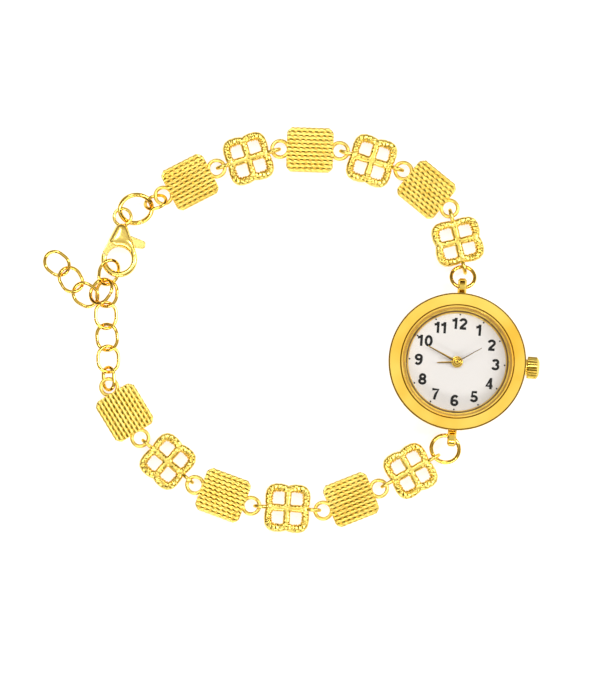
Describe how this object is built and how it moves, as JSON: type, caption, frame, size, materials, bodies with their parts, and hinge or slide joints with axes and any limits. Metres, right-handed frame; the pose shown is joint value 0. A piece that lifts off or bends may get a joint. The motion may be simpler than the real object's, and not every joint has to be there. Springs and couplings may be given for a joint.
{
  "type": "bracelet watch",
  "caption": "Ladies' gold-tone quartz watch on a bracelet of openwork and textured links, closed by a lobster clasp with spare chain.",
  "frame": {"origin": "middle of the caseback's outer face, on which the watch head rests", "axes": "+Z out of the dial, +Y towards twelve o'clock, +X towards the crown"},
  "size_m": [0.0734, 0.0593, 0.0058],
  "materials": {
    "polished_gold": "polished gold plate",
    "satin_gold": "satin gold plate",
    "crystal": "clear mineral crystal",
    "dial_white": "matt white lacquer",
    "gasket": "black rubber",
    "holder_plastic": "moulded plastic",
    "movement_steel": "nickel plate",
    "circuit_green": "circuit laminate",
    "coil_copper": "enamelled copper wire",
    "wheel_brass": "plain brass"
  },
  "bodies": {
    "head": {"battery": "movement_steel", "battery_strap": "movement_steel", "bezel": "satin_gold", "case_middle": "polished_gold", "caseback": "polished_gold", "caseback_gasket": "gasket", "circuit_board": "circuit_green", "coil": "coil_copper", "crown_tube": "polished_gold", "crystal": "crystal", "crystal_gasket": "gasket", "dial": "dial_white", "dial_ring": "polished_gold", "main_plate": "movement_steel", "movement_holder": "holder_plastic", "quartz_can": "movement_steel", "stator": "movement_steel", "train_bridge": "movement_steel"},
    "seconds": {"second_hand": "polished_gold", "second_wheel": "wheel_brass"},
    "minutes": {"minute_hand": "polished_gold", "centre_wheel": "wheel_brass"},
    "hours": {"hour_hand": "polished_gold", "hour_wheel": "wheel_brass"},
    "minute_wheel": {"minute_wheel": "wheel_brass"},
    "third_wheel": {"third_wheel": "wheel_brass"},
    "intermediate_wheel": {"intermediate_wheel": "wheel_brass"},
    "rotor": {"rotor": "movement_steel"},
    "stem": {"stem": "movement_steel"},
    "crown": {"crown": "polished_gold"},
    "head_ring_top": {"head_ring_top": "polished_gold"},
    "openwork_link_1": {"openwork_link_1": "polished_gold"},
    "textured_link_1": {"textured_link_1": "polished_gold"},
    "openwork_link_2": {"openwork_link_2": "polished_gold"},
    "textured_link_2": {"textured_link_2": "polished_gold"},
    "openwork_link_3": {"openwork_link_3": "polished_gold"},
    "textured_link_3": {"textured_link_3": "polished_gold"},
    "small_jump_ring": {"small_jump_ring": "polished_gold"},
    "large_jump_ring": {"large_jump_ring": "polished_gold"},
    "clasp_body": {"clasp_body": "polished_gold", "clasp_pin": "polished_gold", "clasp_spring": "movement_steel"},
    "head_ring_bottom": {"head_ring_bottom": "polished_gold"},
    "openwork_link_4": {"openwork_link_4": "polished_gold"},
    "textured_link_4": {"textured_link_4": "polished_gold"},
    "openwork_link_5": {"openwork_link_5": "polished_gold"},
    "textured_link_5": {"textured_link_5": "polished_gold"},
    "openwork_link_6": {"openwork_link_6": "polished_gold"},
    "textured_link_6": {"textured_link_6": "polished_gold"},
    "end_oval_ring": {"end_oval_ring": "polished_gold"},
    "chain_link_9": {"chain_link_9": "polished_gold"},
    "chain_link_8": {"chain_link_8": "polished_gold"},
    "chain_link_7": {"chain_link_7": "polished_gold"},
    "chain_link_6": {"chain_link_6": "polished_gold"},
    "chain_link_5": {"chain_link_5": "polished_gold"},
    "chain_link_4": {"chain_link_4": "polished_gold"},
    "chain_link_3": {"chain_link_3": "polished_gold"},
    "chain_link_2": {"chain_link_2": "polished_gold"},
    "chain_link_1": {"chain_link_1": "polished_gold"},
    "clasp_lever": {"clasp_lever": "polished_gold"}
  },
  "joints": [
    {"name": "second_spin", "type": "hinge", "parent": "head", "child": "seconds", "pos_m": [0, 0, 0.004], "axis": [0, 0, -1], "continuous": true},
    {"name": "minute_spin", "type": "hinge", "parent": "head", "child": "minutes", "pos_m": [0, 0, 0.004], "axis": [0, 0, -1], "continuous": true},
    {"name": "hour_spin", "type": "hinge", "parent": "head", "child": "hours", "pos_m": [0, 0, 0.004], "axis": [0, 0, -1], "continuous": true},
    {"name": "minute_wheel_spin", "type": "hinge", "parent": "head", "child": "minute_wheel", "pos_m": [-0.00131, -0.00092, 0.003], "axis": [0, 0, -1], "continuous": true},
    {"name": "third_wheel_spin", "type": "hinge", "parent": "head", "child": "third_wheel", "pos_m": [0.00158, 0.00028, 0.002], "axis": [0, 0, -1], "continuous": true},
    {"name": "intermediate_spin", "type": "hinge", "parent": "head", "child": "intermediate_wheel", "pos_m": [0.00028, 0.00158, 0.0015], "axis": [0, 0, -1], "continuous": true},
    {"name": "rotor_spin", "type": "hinge", "parent": "head", "child": "rotor", "pos_m": [0.00093, 0.0027, 0.0018], "axis": [0, 0, -1], "continuous": true},
    {"name": "crown_pull", "type": "slide", "parent": "head", "child": "stem", "axis": [1, 0, 0], "range_m": [0, 0.001]},
    {"name": "crown_turn", "type": "hinge", "parent": "stem", "child": "crown", "pos_m": [0.011, 0, 0.0021], "axis": [1, 0, 0], "continuous": true},
    {"name": "bracelet_swing", "type": "hinge", "parent": "head", "child": "head_ring_top", "pos_m": [0, 0.01095, 0.0027], "axis": [0, 1, 0], "range_deg": [0, 15]},
    {"name": "bracelet_swing_lower", "type": "hinge", "parent": "head", "child": "head_ring_bottom", "pos_m": [0, -0.01095, 0.0027], "axis": [0, 1, 0], "range_deg": [0, 15]},
    {"name": "openwork_link_1_lift", "type": "hinge", "parent": "head_ring_top", "child": "openwork_link_1", "pos_m": [0.00007, 0.01406, 0.0012], "axis": [0.9967, 0.0809, -0.0082], "range_deg": [0, 9]},
    {"name": "textured_link_1_lift", "type": "hinge", "parent": "openwork_link_1", "child": "textured_link_1", "pos_m": [-0.00259, 0.02244, 0.0012], "axis": [0.9685, 0.2489, -0.0084], "range_deg": [-19.23, 0]},
    {"name": "openwork_link_2_lift", "type": "hinge", "parent": "textured_link_1", "child": "openwork_link_2", "pos_m": [-0.00969, 0.02748, 0.0012], "axis": [0.9216, 0.388, -0.0094], "range_deg": [0, 10.46]},
    {"name": "textured_link_2_lift", "type": "hinge", "parent": "openwork_link_2", "child": "textured_link_2", "pos_m": [-0.01915, 0.02973, 0.0012], "axis": [0.8522, 0.523, -0.0112], "range_deg": [0, 12]},
    {"name": "openwork_link_3_lift", "type": "hinge", "parent": "textured_link_2", "child": "openwork_link_3", "pos_m": [-0.02785, 0.0294, 0.0012], "axis": [0.7711, 0.6365, -0.0138], "range_deg": [-23.59, 0]},
    {"name": "textured_link_3_lift", "type": "hinge", "parent": "openwork_link_3", "child": "textured_link_3", "pos_m": [-0.03692, 0.02589, 0.0012], "axis": [0.673, 0.7394, -0.0196], "range_deg": [0, 11.81]},
    {"name": "small_jump_ring_lift", "type": "hinge", "parent": "textured_link_3", "child": "small_jump_ring", "pos_m": [-0.04491, 0.02087, 0.0013], "axis": [0.5141, 0.8573, -0.0252], "range_deg": [0, 9]},
    {"name": "large_jump_ring_lift", "type": "hinge", "parent": "small_jump_ring", "child": "large_jump_ring", "pos_m": [-0.04684, 0.01975, 0.00153], "axis": [0.4271, 0.9042, -0.009], "range_deg": [-13.96, 0]},
    {"name": "clasp_body_lift", "type": "hinge", "parent": "large_jump_ring", "child": "clasp_body", "pos_m": [-0.04917, 0.0185, 0.00143], "axis": [0.2616, 0.9649, -0.0222], "range_deg": [0, 5.07]},
    {"name": "openwork_link_4_lift", "type": "hinge", "parent": "head_ring_bottom", "child": "openwork_link_4", "pos_m": [-0.00224, -0.01396, 0.0012], "axis": [-0.9002, 0.4354, 0.0078], "range_deg": [0, 8]},
    {"name": "textured_link_4_lift", "type": "hinge", "parent": "openwork_link_4", "child": "textured_link_4", "pos_m": [-0.01006, -0.01907, 0.0012], "axis": [-0.8199, 0.5724, 0.0084], "range_deg": [-15.66, 0]},
    {"name": "openwork_link_5_lift", "type": "hinge", "parent": "textured_link_4", "child": "openwork_link_5", "pos_m": [-0.0179, -0.02283, 0.0012], "axis": [-0.7167, 0.6974, 0.0091], "range_deg": [0, 7.85]},
    {"name": "textured_link_5_lift", "type": "hinge", "parent": "openwork_link_5", "child": "textured_link_5", "pos_m": [-0.02844, -0.02286, 0.0012], "axis": [-0.5761, 0.8173, 0.0106], "range_deg": [0, 12]},
    {"name": "openwork_link_6_lift", "type": "hinge", "parent": "textured_link_5", "child": "openwork_link_6", "pos_m": [-0.03679, -0.02041, 0.0012], "axis": [-0.4372, 0.8993, 0.0126], "range_deg": [-21.52, 0]},
    {"name": "textured_link_6_lift", "type": "hinge", "parent": "openwork_link_6", "child": "textured_link_6", "pos_m": [-0.04525, -0.01414, 0.0012], "axis": [-0.252, 0.9676, 0.0171], "range_deg": [0, 9.84]},
    {"name": "end_oval_ring_twist", "type": "hinge", "parent": "textured_link_6", "child": "end_oval_ring", "pos_m": [-0.0503, -0.00705, 0.0012], "axis": [0.0712, -0.9972, -0.025], "range_deg": [0, 15]},
    {"name": "chain_link_9_twist", "type": "hinge", "parent": "end_oval_ring", "child": "chain_link_9", "pos_m": [-0.05061, -0.00457, 0.00086], "axis": [0.0618, -0.9967, -0.0528], "range_deg": [-15.04, 0]},
    {"name": "chain_link_8_twist", "type": "hinge", "parent": "chain_link_9", "child": "chain_link_8", "pos_m": [-0.05084, -0.00138, 0.00086], "axis": [0.0588, -0.996, -0.0677], "range_deg": [0, 8]},
    {"name": "chain_link_7_twist", "type": "hinge", "parent": "chain_link_8", "child": "chain_link_7", "pos_m": [-0.05141, 0.00177, 0.00086], "axis": [0.0123, -0.9955, -0.094], "range_deg": [-8.02, 0]},
    {"name": "chain_link_6_twist", "type": "hinge", "parent": "chain_link_7", "child": "chain_link_6", "pos_m": [-0.05164, 0.00496, 0.00086], "axis": [-0.0266, -0.9877, -0.1539], "range_deg": [0, 9]},
    {"name": "chain_link_5_twist", "type": "hinge", "parent": "chain_link_6", "child": "chain_link_5", "pos_m": [-0.05159, 0.00816, 0.00086], "axis": [-0.0453, -0.9119, -0.4079], "range_deg": [-9.03, 0]},
    {"name": "chain_link_4_swing", "type": "hinge", "parent": "chain_link_5", "child": "chain_link_4", "pos_m": [-0.05159, 0.00816, 0.00163], "axis": [0, 0, 1], "range_deg": [-8, 1.5]},
    {"name": "chain_link_3_swing", "type": "hinge", "parent": "chain_link_4", "child": "chain_link_3", "pos_m": [-0.05328, 0.00545, 0.00087], "axis": [0, 0, 1], "range_deg": [-10, 10]},
    {"name": "chain_link_2_swing", "type": "hinge", "parent": "chain_link_3", "child": "chain_link_2", "pos_m": [-0.05612, 0.00689, 0.00083], "axis": [0, 0, 1], "range_deg": [-12, 12]},
    {"name": "chain_link_1_swing", "type": "hinge", "parent": "chain_link_2", "child": "chain_link_1", "pos_m": [-0.05786, 0.00956, 0.00082], "axis": [0, 0, 1], "range_deg": [-15, 15]},
    {"name": "clasp_lever_open", "type": "hinge", "parent": "clasp_body", "child": "clasp_lever", "pos_m": [-0.05012, 0.01474, 0.0012], "axis": [0.0003, 0.0523, 0.9986], "range_deg": [0, 22], "stiffness_Nm_per_rad": 0.00004}
  ],
  "couplings": [
    {"joint": "minute_spin", "follows": "second_spin", "ratio": 0.016667},
    {"joint": "hour_spin", "follows": "second_spin", "ratio": 0.0013889},
    {"joint": "minute_wheel_spin", "follows": "second_spin", "ratio": -0.0055556},
    {"joint": "third_wheel_spin", "follows": "second_spin", "ratio": -0.13333},
    {"joint": "intermediate_spin", "follows": "second_spin", "ratio": -6},
    {"joint": "rotor_spin", "follows": "second_spin", "ratio": 30},
    {"joint": "bracelet_swing_lower", "follows": "bracelet_swing", "ratio": 1},
    {"joint": "textured_link_1_lift", "follows": "openwork_link_1_lift", "ratio": -2.1327},
    {"joint": "openwork_link_2_lift", "follows": "openwork_link_1_lift", "ratio": 1.1597},
    {"joint": "openwork_link_3_lift", "follows": "textured_link_2_lift", "ratio": -1.9623},
    {"joint": "textured_link_3_lift", "follows": "textured_link_2_lift", "ratio": 0.98194},
    {"joint": "large_jump_ring_lift", "follows": "small_jump_ring_lift", "ratio": -1.5483},
    {"joint": "clasp_body_lift", "follows": "small_jump_ring_lift", "ratio": 0.56194},
    {"joint": "textured_link_4_lift", "follows": "openwork_link_4_lift", "ratio": -1.9542},
    {"joint": "openwork_link_5_lift", "follows": "openwork_link_4_lift", "ratio": 0.97972},
    {"joint": "openwork_link_6_lift", "follows": "textured_link_5_lift", "ratio": -1.7898},
    {"joint": "textured_link_6_lift", "follows": "textured_link_5_lift", "ratio": 0.8187},
    {"joint": "chain_link_9_twist", "follows": "end_oval_ring_twist", "ratio": -1},
    {"joint": "chain_link_7_twist", "follows": "chain_link_8_twist", "ratio": -1},
    {"joint": "chain_link_5_twist", "follows": "chain_link_6_twist", "ratio": -1}
  ]
}
